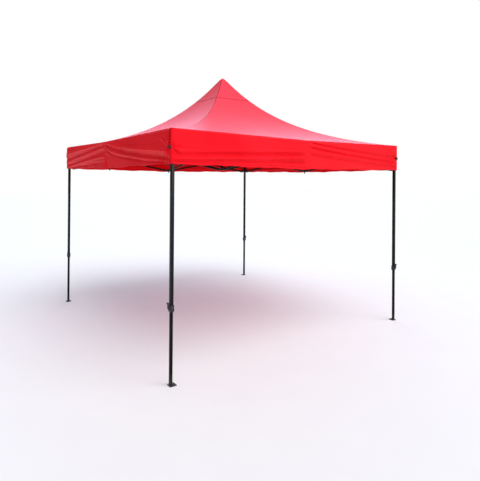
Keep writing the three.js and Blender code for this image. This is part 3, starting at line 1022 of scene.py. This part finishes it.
# spring pin with a flat pull ring, close enough to the slider to pass under the cloth
def ringPull(name, place, outward):
    pin = scatter(f"{name}_pin", boltGroup, [(place, facing(outward))], material=zincSteel, **lockPin)
    build = bmesh.new()
    turnsBig, turnsSmall = pullRing["turnsBig"], pullRing["turnsSmall"]
    big, small = pullRing["big"], pullRing["small"]
    side = Vector((1, 0, 0))
    rows = []
    for i in range(turnsBig):
        a = 2 * math.pi * i / turnsBig
        center = Vector((0, math.cos(a), math.sin(a))) * big
        spoke = center.normalized()
        row = []
        for j in range(turnsSmall):
            b = 2 * math.pi * j / turnsSmall
            row.append(build.verts.new(center + small * (math.cos(b) * spoke + math.sin(b) * side)))
        rows.append(row)
    for i in range(turnsBig):
        for j in range(turnsSmall):
            build.faces.new([rows[i][j], rows[i - 1][j], rows[i - 1][j - 1], rows[i][j - 1]])
    mesh = bpy.data.meshes.new(f"{name}_ring")
    build.to_mesh(mesh)
    build.free()
    outward = Vector(outward)
    center = Vector(place) + outward * pullRing["off"] - Vector((0, 0, big - pullRing["overlap"]))
    turn = outward.to_track_quat("Z", "Y").to_matrix().to_4x4()
    mesh.transform(Matrix.Translation(center) @ turn @ Matrix.Rotation(quarter, 4, "Y"))
    mesh.materials.append(zincSteel)
    ring = bpy.data.objects.new(f"{name}_ring", mesh)
    scene.collection.objects.link(ring)
    return joined(name, [pin, ring])


knob = dict(headRadius=0.0145, headHeight=0.008, headSides=16, washerRadius=0.0195, washerHeight=0.0025)
knobTab = dict(size=(0.012, 0.034, 0.0016), off=0.0012, below=0.012)
knobPlace = dict(inset=0.019, off=0.004)  # from the cover's corner, and past its plane


# toggle that closes the lap at the cover's corner
def cornerKnob(name, k):
    half = cover["half"]
    place = turned(k, half - knobPlace["inset"], -half - knobPlace["off"], cover["eave"] - toggle["drop"])
    out = turned(k, 0, -1, 0)
    base = scatter(f"{name}_base", boltGroup, [(place, facing(out))], material=nylon, **knob)
    hung = place + out * knobTab["off"] - Vector((0, 0, knobTab["below"]))
    tab = scatter(f"{name}_tab", blockGroup, [(hung, facing(out))], size=knobTab["size"], material=nylon)
    return joined(name, [base, tab])


bead = dict(half=0.0115, rise=0.0035, count=11, swell=0.12, beat=2.4)
beadProfile = [  # away from the leg, share of the rise
    (-0.0006, 1),
    (0.0012, 0.8),
    (0.0026, 0.35),
]
beadFoot = [(0.0032, -0.0003), (-0.0006, -0.0003)]


# bead of weld round the leg on its plate
def footWeld(name, foot):
    half, count = bead["half"], bead["count"]
    spots = []
    for i in range(4):
        a, b = Vector((half, -half, 0)), Vector((half, half, 0))
        turn = Matrix.Rotation(i * quarter, 3, "Z")
        spots += [turn @ a.lerp(b, j / count) for j in range(count)]
    profile = [(x, bead["rise"] * share) for x, share in beadProfile] + beadFoot
    build = bmesh.new()
    rows = []
    for n, spot in enumerate(spots):
        swell = 1 + bead["swell"] * math.sin(n * bead["beat"])
        outward = Vector((spot.x, spot.y, 0)).normalized()
        row = []
        for x, z in profile:
            row.append(build.verts.new(foot + spot + outward * x * swell + Vector((0, 0, z * swell))))
        rows.append(row)
    for i in range(len(rows)):
        for j in range(len(profile)):
            build.faces.new([rows[i - 1][j], rows[i][j], rows[i][j - 1], rows[i - 1][j - 1]])
    bmesh.ops.recalc_face_normals(build, faces=build.faces)
    mesh = bpy.data.meshes.new(name)
    build.to_mesh(mesh)
    build.free()
    for face in mesh.polygons:
        face.use_smooth = True
    mesh.materials.append(innerCoat)
    obj = bpy.data.objects.new(name, mesh)
    scene.collection.objects.link(obj)
    return obj


legScrew = dict(headRadius=0.0042, headHeight=0.0016, headSides=14, washerRadius=0.0060, washerHeight=0.0006)
footRivet = dict(headRadius=0.0030, headHeight=0.0030, headSides=14, washerRadius=0.0042, washerHeight=0.0006)
legPlaces = dict(
    sleeve=0.019,  # leg axis to a sleeve's face
    pinRise=0.005,
    collarRise=0.012,
    plateTop=0.004,
    rivetX=0.0175,
    rivetY=-0.0150,
)


# middle of a part that sits on the leg at corner k, on the leg's axis
def onLeg(k, node, rise=0.0):
    low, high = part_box(node)
    return turned(k, truss["half"], -truss["half"], (low.z + high.z) / 2 + rise)


# lock pins on the sliders, screws on brackets and collars, weld and rivets at the feet, toggles
def dressLegs():
    half, sleeve = truss["half"], legPlaces["sleeve"]
    for k, corner in enumerate(corners):
        outX, outY = turned(k, 1, 0, 0), turned(k, 0, -1, 0)
        center = onLeg(k, f"{corner}_slider", legPlaces["pinRise"])
        pull = ringPull(f"{corner}_lock_pin", center + outX * sleeve, outX)
        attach(pull, f"{corner}_slider")
        middle = onLeg(k, f"{corner}_corner_bracket")
        collar = onLeg(k, f"{corner}_leg_collar", legPlaces["collarRise"])
        places = [(middle + outX * sleeve, facing(outX)), (middle + outY * sleeve, facing(outY)),
                  (collar + outX * sleeve, facing(outX)), (collar - outX * sleeve, facing(-outX))]
        screws = scatter(f"{corner}_leg_screws", boltGroup, places, material=boltSteel, **legScrew)
        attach(screws, f"{corner}_leg")
        foot = turned(k, half, -half, legPlaces["plateTop"])
        spots = [foot + turned(k, end * legPlaces["rivetX"], legPlaces["rivetY"], 0) for end in (1, -1)]
        places = [(spot, facing((0, 0, 1))) for spot in spots]
        rivets = scatter(f"{corner}_foot_rivets", boltGroup, places, material=zincSteel, **footRivet)
        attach(rivets, f"{corner}_inner_leg")
        closer = cornerKnob(f"{corner}_cover_knob", k)
        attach(closer, f"{corner}_leg")
        weld = footWeld(f"{corner}_foot_weld", foot)
        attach(weld, f"{corner}_inner_leg")


middlePin = dict(headRadius=0.0065, headHeight=0.020, headSides=14, washerRadius=0.011, washerHeight=0.004)


# stubs under the middle nodes, where a cord can be hooked
def dressMiddles():
    for side in sides:
        low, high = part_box(f"{side}_middle_lower_node")
        place = Vector(((low.x + high.x) / 2, (low.y + high.y) / 2, low.z))
        places = [(place, facing((0, 0, -1)))]
        pin = scatter(f"{side}_middle_pin", boltGroup, places, material=nylon, **middlePin)
        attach(pin, f"{side}_middle_lower_node")


dressLegs()
dressMiddles()
print("legs dressed")

studio = dict(
    backdrop=(1.0, 1.0, 1.0),  # what the camera sees
    ahead=(0.56, 0.78, 0.28),  # a white screen stands this way and lights the roof from behind
    aheadEdge=(0.82, 0.96),
    screen=(2.3, 2.6, 3.5),
    window=(5.0, 5.0, 4.8),  # behind the camera, to the right; it draws the highlight down each leg
    room=(0.14, 0.145, 0.15),  # the unlit rest of the studio
    ceiling=(0.66, 0.68, 0.75),
    ceilingEdge=(0.35, 0.8),
    windowWay=(0.58, -0.81, 0.08),
    windowEdge=(0.93, 0.99),
    key=2.3,
    keySpread=60,  # degrees
    keyWay=(-0.17, 0.56, -0.80),
    floorDrop=0.0005,
    floorSize=40,
)


def makeWorld():
    world = bpy.data.worlds.new("studio")
    scene.world = world
    world.use_nodes = True
    tree = world.node_tree
    look = tree.nodes.new("ShaderNodeTexCoord").outputs["Generated"]

    def towards(direction, low, high):
        dot = tree.nodes.new("ShaderNodeVectorMath")
        dot.operation = "DOT_PRODUCT"
        dot.inputs[1].default_value = direction
        tree.links.new(look, dot.inputs[0])
        return rampNode(tree, dot.outputs["Value"], low, high)

    split = tree.nodes.new("ShaderNodeSeparateXYZ")
    tree.links.new(look, split.inputs[0])
    upward = rampNode(tree, split.outputs["Z"], *studio["ceilingEdge"])
    color = mixColor(tree, upward, studio["room"], studio["ceiling"])
    color = mixColor(tree, towards(studio["ahead"], *studio["aheadEdge"]), color, studio["screen"])
    color = mixColor(tree, towards(studio["windowWay"], *studio["windowEdge"]), color, studio["window"])
    seen = tree.nodes.new("ShaderNodeLightPath").outputs["Is Camera Ray"]
    color = mixColor(tree, seen, color, studio["backdrop"])
    tree.links.new(color, tree.nodes["Background"].inputs[0])


def makeKey():
    data = bpy.data.lights.new("key", "SUN")
    data.energy = studio["key"]
    data.angle = math.radians(studio["keySpread"])
    lamp = bpy.data.objects.new("key", data)
    scene.collection.objects.link(lamp)
    lamp.rotation_mode = "QUATERNION"
    lamp.rotation_quaternion = Vector(studio["keyWay"]).to_track_quat("-Z", "Y")


def makeStudio():
    mesh = bpy.data.meshes.new("floor")
    s = studio["floorSize"]
    mesh.from_pydata([(-s, -s, 0), (s, -s, 0), (s, s, 0), (-s, s, 0)], [], [(0, 1, 2, 3)])
    mesh.materials.append(makeFloor())
    floor = bpy.data.objects.new("floor", mesh)
    floor.location.z = -studio["floorDrop"]
    scene.collection.objects.link(floor)
    makeWorld()
    makeKey()
    scene.view_settings.view_transform = "Standard"


makeStudio()
print("studio made")
